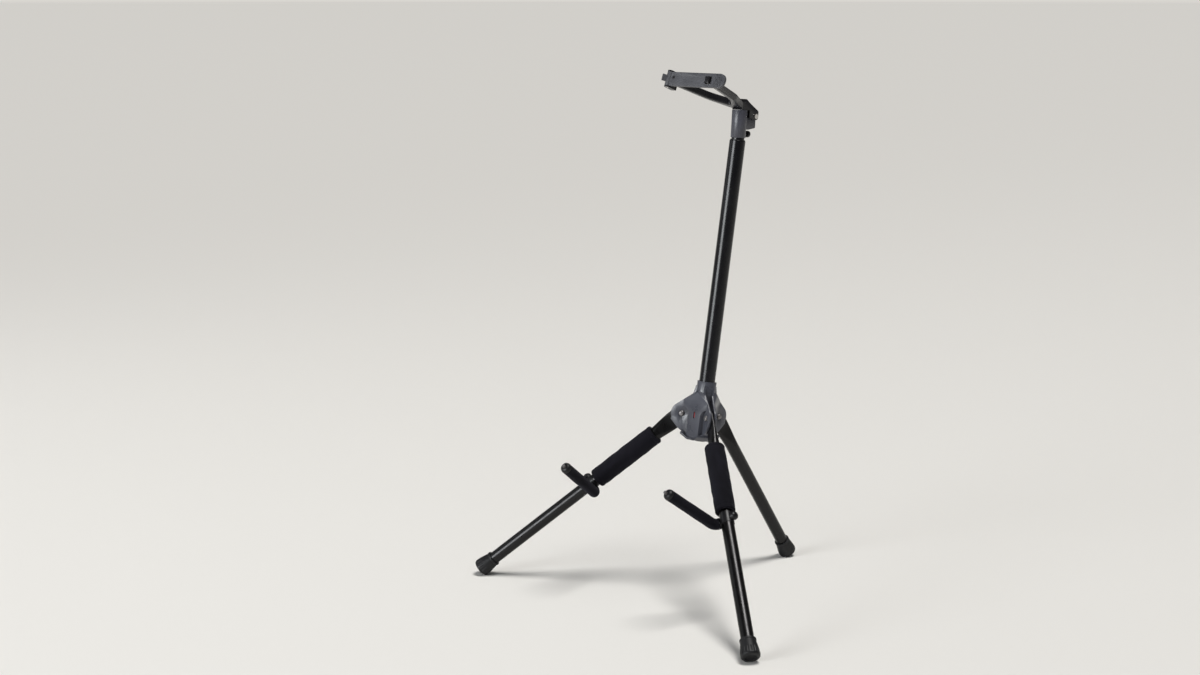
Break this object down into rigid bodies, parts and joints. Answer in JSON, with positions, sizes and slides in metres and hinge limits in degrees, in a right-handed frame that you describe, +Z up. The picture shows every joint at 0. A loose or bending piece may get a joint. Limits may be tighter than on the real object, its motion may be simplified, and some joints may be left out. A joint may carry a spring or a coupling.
{
  "type": "folding guitar stand",
  "caption": "Folding tripod guitar stand: leaning tube mast on hinged legs, padded swing-out support arms, and a hinged neck yoke with a rubber strap.",
  "frame": {"origin": "on the floor, in the middle of the stand's overall box", "axes": "+Z up, -Y to the front where the guitar goes, +X to the right of someone facing the front"},
  "size_m": [0.6052, 0.4622, 0.8275],
  "materials": {
    "mast_black": "gloss",
    "leg_charcoal": "satin",
    "hub_grey": "satin",
    "lock_red": "gloss",
    "steel": "bright",
    "pad_foam": "soft matt",
    "foot_rubber": "matt",
    "strap_rubber": "matt",
    "head_grey": "satin",
    "yoke_grey": "satin",
    "trim_black": "matt"
  },
  "bodies": {
    "base": {"hub_body": "hub_grey", "hub_sole_plate": "trim_black", "leg_lock": "lock_red", "leg_pivot_rivets": "steel", "mast_tube": "mast_black", "mast_plug": "trim_black", "mast_guide_bush": "trim_black"},
    "leg_left": {"leg_tube_left": "leg_charcoal", "foot_cap_left": "foot_rubber", "leg_pad_left": "pad_foam", "arm_bushes_left": "trim_black"},
    "leg_right": {"leg_tube_right": "leg_charcoal", "foot_cap_right": "foot_rubber", "leg_pad_right": "pad_foam", "arm_bushes_right": "trim_black"},
    "leg_rear": {"leg_tube_rear": "leg_charcoal", "foot_cap_rear": "foot_rubber"},
    "arm_left": {"arm_rod_left": "steel", "arm_sleeve_left": "pad_foam", "arm_cap_left": "trim_black", "arm_nut_left": "trim_black"},
    "arm_right": {"arm_rod_right": "steel", "arm_sleeve_right": "pad_foam", "arm_cap_right": "trim_black", "arm_nut_right": "trim_black"},
    "head": {"inner_tube": "steel", "inner_tube_glide": "trim_black", "head_socket": "head_grey"},
    "knob": {"head_knob": "trim_black"},
    "yoke": {"yoke_fork": "yoke_grey", "yoke_hinge_pin": "steel", "strap_post": "steel"},
    "strap": {"strap": "strap_rubber"}
  },
  "joints": [
    {"name": "leg_left_fold", "type": "hinge", "parent": "base", "child": "leg_left", "pos_m": [-0.02901, -0.01723, 0.28298], "axis": [-0.5, 0.8531, -0.1488], "range_deg": [0, 135], "deforming": ["leg_lock"]},
    {"name": "leg_right_fold", "type": "hinge", "parent": "base", "child": "leg_right", "pos_m": [0.02901, -0.01723, 0.28298], "axis": [-0.5, -0.8531, 0.1488], "range_deg": [0, 135], "deforming": ["leg_lock"]},
    {"name": "leg_rear_fold", "type": "hinge", "parent": "base", "child": "leg_rear", "pos_m": [0, 0.03227, 0.27434], "axis": [1, 0, 0], "range_deg": [0, 135], "deforming": ["leg_lock"]},
    {"name": "arm_left_fold", "type": "hinge", "parent": "leg_left", "child": "arm_left", "pos_m": [-0.14659, -0.10744, 0.1609], "axis": [0.7824, -0.245, -0.5725], "range_deg": [0, 96]},
    {"name": "arm_right_fold", "type": "hinge", "parent": "leg_right", "child": "arm_right", "pos_m": [0.14659, -0.10744, 0.1609], "axis": [0.7824, 0.245, 0.5725], "range_deg": [0, 96]},
    {"name": "height_slide", "type": "slide", "parent": "base", "child": "head", "axis": [0, 0.1719, 0.9851], "range_m": [0, 0.12]},
    {"name": "knob_turn", "type": "hinge", "parent": "head", "child": "knob", "pos_m": [0, 0.10124, 0.72332], "axis": [0, 0.9973, -0.0732], "range_deg": [0, 360]},
    {"name": "yoke_fold", "type": "hinge", "parent": "head", "child": "yoke", "pos_m": [0, 0.1068, 0.75129], "axis": [-1, 0, 0], "range_deg": [0, 185]},
    {"name": "strap_open", "type": "hinge", "parent": "yoke", "child": "strap", "pos_m": [-0.041, -0.04056, 0.81329], "axis": [0, -0.3507, -0.9365], "range_deg": [0, 80]}
  ]
}
